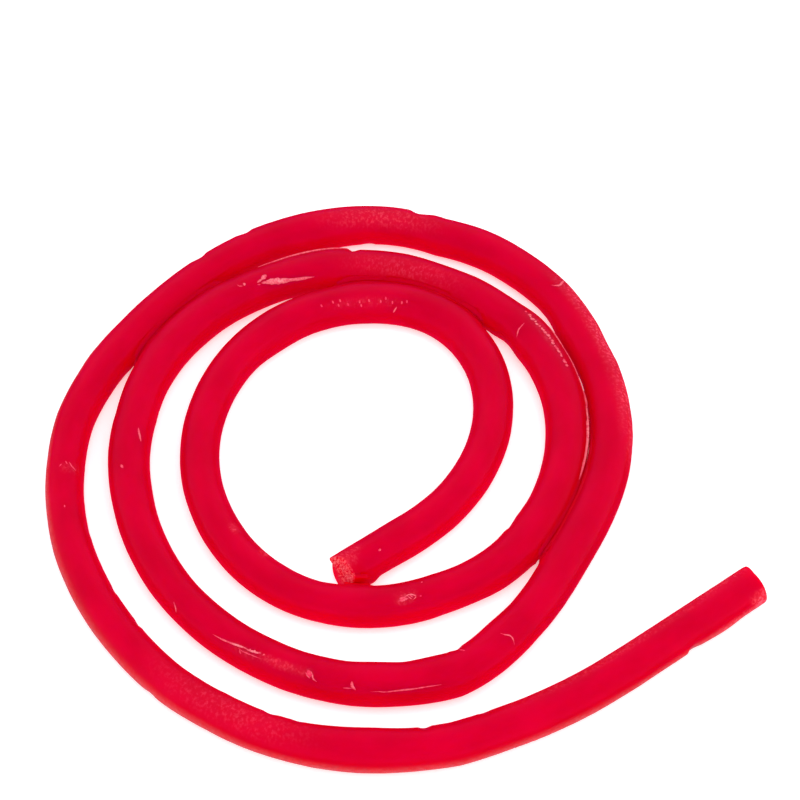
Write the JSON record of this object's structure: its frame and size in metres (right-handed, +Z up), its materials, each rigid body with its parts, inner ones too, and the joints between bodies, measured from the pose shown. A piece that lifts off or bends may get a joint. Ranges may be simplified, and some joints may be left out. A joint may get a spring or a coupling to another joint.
{
  "type": "licorice rope",
  "caption": "Soft red licorice strand of round section, laid flat in a loose coil with a straight tail; both ends cut square.",
  "frame": {"origin": "on the resting surface, under the middle of the coil's bounding box, tail included", "axes": "+Z up from the resting surface; +X to the picture's right, the side on which the tail ends; -Y towards the viewer of the picture"},
  "size_m": [0.1328, 0.1232, 0.0076],
  "materials": {
    "licorice": "satin, slightly translucent red candy"
  },
  "bodies": {
    "root": {"licorice_rope": "licorice"}
  },
  "joints": []
}
